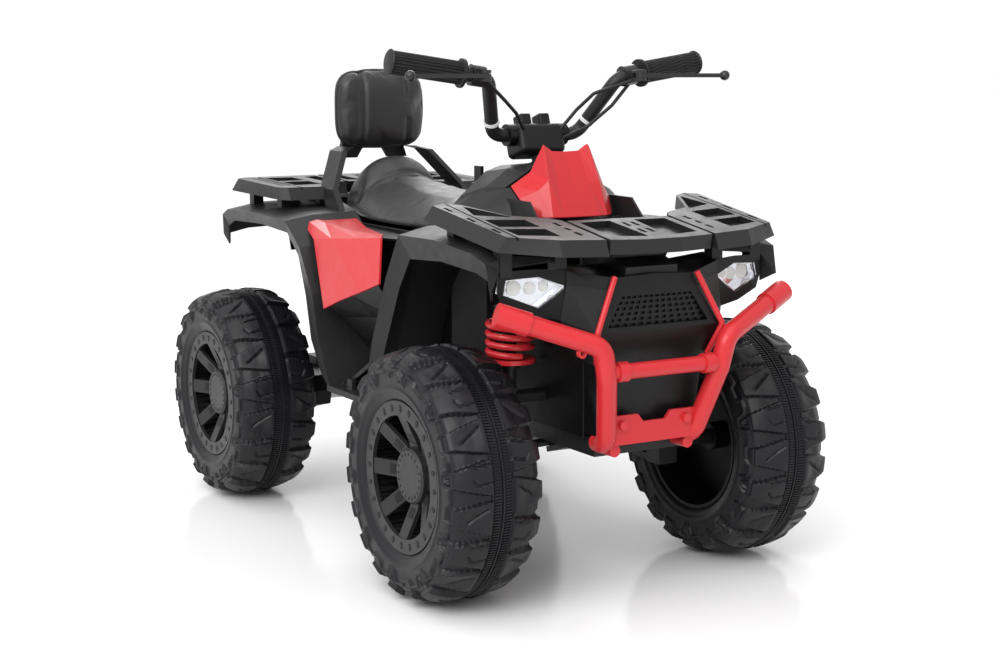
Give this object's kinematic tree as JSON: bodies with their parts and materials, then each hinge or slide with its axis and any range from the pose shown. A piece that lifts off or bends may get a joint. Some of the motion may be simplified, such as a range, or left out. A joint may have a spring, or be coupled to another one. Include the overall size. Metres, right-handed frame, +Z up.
{
  "type": "kids quad bike",
  "caption": "Ride-on electric kids quad bike: moulded body with racks, padded saddle and backrest, handlebar steering, sprung front wheels and a tubular front bumper",
  "frame": {"origin": "on the ground under the middle of the bike's bounding box", "axes": "+X forward, +Y to the rider's left, +Z up"},
  "size_m": [1.0751, 0.614, 0.747],
  "materials": {
    "red_plastic": "coral red moulded plastic, satin gloss",
    "grey_plastic": "dark grey fine-textured plastic",
    "black_plastic": "black fine-textured plastic",
    "tyre_plastic": "blow-moulded black plastic with a soft sheen",
    "rim_plastic": "gunmetal satin plastic",
    "red_steel": "red enamelled spring steel",
    "black_steel": "black powder-coated steel",
    "bright_steel": "zinc-plated steel",
    "reflector": "metallised plastic",
    "clear_lens": "clear moulded lens",
    "lamp": "frosted lamp",
    "leatherette": "black grained leatherette over foam",
    "grip_rubber": "black soft rubber",
    "lever_alloy": "satin cast alloy",
    "cable_black": "black cable sheath",
    "white_nylon": "white nylon"
  },
  "bodies": {
    "chassis": {"chassis_frame": "black_steel", "body_tub": "black_plastic", "footboards": "grey_plastic", "front_fenders": "grey_plastic", "rear_fenders": "grey_plastic", "side_panels": "red_plastic", "side_skirts": "black_plastic", "front_bumper": "red_plastic", "chassis_fasteners": "bright_steel", "front_fascia": "black_plastic", "headlight_lenses": "clear_lens", "headlight_reflectors": "reflector", "headlight_lamps": "lamp", "grille_insert": "black_plastic", "grille_trims": "red_plastic", "front_cowl": "red_plastic", "tank_cover": "grey_plastic", "cowl_wings": "grey_plastic", "front_rack": "grey_plastic", "rear_rack": "grey_plastic", "tail_panel": "black_plastic", "seat": "leatherette", "backrest_pad": "leatherette", "backrest_bracket": "grey_plastic", "battery": "black_plastic", "control_box": "black_plastic", "gearboxes": "black_plastic", "motors": "bright_steel", "rear_axle": "bright_steel", "left_front_spring": "red_steel", "right_front_spring": "red_steel"},
    "steering": {"steering_column": "black_steel", "handlebar": "black_steel", "bar_cover": "black_plastic", "handlebar_grips": "grip_rubber", "lever_perches": "lever_alloy", "control_cables": "cable_black", "cable_ties": "white_nylon"},
    "left_lever": {"left_brake_lever": "lever_alloy"},
    "left_suspension": {"left_spring_seat": "red_steel"},
    "left_knuckle": {"left_steering_knuckle": "black_steel"},
    "left_tie_link": {"left_tie_rod": "black_steel"},
    "right_lever": {"right_brake_lever": "lever_alloy"},
    "right_suspension": {"right_spring_seat": "red_steel"},
    "right_knuckle": {"right_steering_knuckle": "black_steel"},
    "right_tie_link": {"right_tie_rod": "black_steel"},
    "front_right_wheel": {"front_right_tyre": "tyre_plastic", "front_right_rim": "rim_plastic", "front_right_hub_cap": "rim_plastic"},
    "front_left_wheel": {"front_left_tyre": "tyre_plastic", "front_left_rim": "rim_plastic", "front_left_hub_cap": "rim_plastic"},
    "rear_right_wheel": {"rear_right_tyre": "tyre_plastic", "rear_right_rim": "rim_plastic", "rear_right_hub_cap": "rim_plastic"},
    "rear_left_wheel": {"rear_left_tyre": "tyre_plastic", "rear_left_rim": "rim_plastic", "rear_left_hub_cap": "rim_plastic"},
    "pedal": {"accelerator_pedal": "black_plastic"},
    "key": {"ignition_key": "black_plastic"}
  },
  "joints": [
    {"name": "steering_turn", "type": "hinge", "parent": "chassis", "child": "steering", "pos_m": [0.19296, 0, 0.612], "axis": [-0.3023, 0, 0.9532], "range_deg": [-18, 18]},
    {"name": "left_lever_pull", "type": "hinge", "parent": "steering", "child": "left_lever", "pos_m": [0.27424, 0.13066, 0.70759], "axis": [0, 0, 1], "range_deg": [0, 14], "stiffness_Nm_per_rad": 0.6, "springref_deg": -17.19},
    {"name": "left_suspension_slide", "type": "slide", "parent": "chassis", "child": "left_suspension", "axis": [0, 0, 1], "range_m": [-0.006, 0.012], "stiffness_N_per_m": 9000, "springref_m": -0.006, "deforming": ["left_front_spring"]},
    {"name": "left_knuckle_turn", "type": "hinge", "parent": "left_suspension", "child": "left_knuckle", "pos_m": [0.33896, 0.13, 0.175], "axis": [0, 0, 1], "range_deg": [-18.5, 18.5]},
    {"name": "left_tie_link_turn", "type": "hinge", "parent": "steering", "child": "left_tie_link", "pos_m": [0.27582, 0.016, 0.182], "axis": [-0.3023, 0, 0.9532], "range_deg": [-18.5, 18.5]},
    {"name": "right_lever_pull", "type": "hinge", "parent": "steering", "child": "right_lever", "pos_m": [0.27424, -0.13066, 0.70759], "axis": [0, 0, -1], "range_deg": [0, 14], "stiffness_Nm_per_rad": 0.6, "springref_deg": -17.19},
    {"name": "right_suspension_slide", "type": "slide", "parent": "chassis", "child": "right_suspension", "axis": [0, 0, 1], "range_m": [-0.006, 0.012], "stiffness_N_per_m": 9000, "springref_m": -0.006, "deforming": ["right_front_spring"]},
    {"name": "right_knuckle_turn", "type": "hinge", "parent": "right_suspension", "child": "right_knuckle", "pos_m": [0.33896, -0.13, 0.175], "axis": [0, 0, 1], "range_deg": [-18.5, 18.5]},
    {"name": "right_tie_link_turn", "type": "hinge", "parent": "steering", "child": "right_tie_link", "pos_m": [0.27582, -0.016, 0.182], "axis": [-0.3023, 0, 0.9532], "range_deg": [-18.5, 18.5]},
    {"name": "front_right_wheel_spin", "type": "hinge", "parent": "right_knuckle", "child": "front_right_wheel", "pos_m": [0.33896, -0.241, 0.175], "axis": [0, 1, 0], "continuous": true},
    {"name": "front_left_wheel_spin", "type": "hinge", "parent": "left_knuckle", "child": "front_left_wheel", "pos_m": [0.33896, 0.241, 0.175], "axis": [0, 1, 0], "continuous": true},
    {"name": "rear_right_wheel_spin", "type": "hinge", "parent": "chassis", "child": "rear_right_wheel", "pos_m": [-0.36304, -0.241, 0.175], "axis": [0, 1, 0], "continuous": true},
    {"name": "rear_left_wheel_spin", "type": "hinge", "parent": "chassis", "child": "rear_left_wheel", "pos_m": [-0.36304, 0.241, 0.175], "axis": [0, 1, 0], "continuous": true},
    {"name": "pedal_press", "type": "hinge", "parent": "chassis", "child": "pedal", "pos_m": [0.02196, -0.188, 0.246], "axis": [0, 1, 0], "range_deg": [0, 16], "stiffness_Nm_per_rad": 1, "springref_deg": -14.32},
    {"name": "key_turn", "type": "hinge", "parent": "chassis", "child": "key", "pos_m": [0.12196, -0.054, 0.541], "axis": [0, 0, 1], "range_deg": [-60, 0]}
  ],
  "couplings": [
    {"joint": "left_knuckle_turn", "follows": "steering_turn", "ratio": 1},
    {"joint": "left_tie_link_turn", "follows": "steering_turn", "ratio": -1},
    {"joint": "right_knuckle_turn", "follows": "steering_turn", "ratio": 1},
    {"joint": "right_tie_link_turn", "follows": "steering_turn", "ratio": -1}
  ]
}
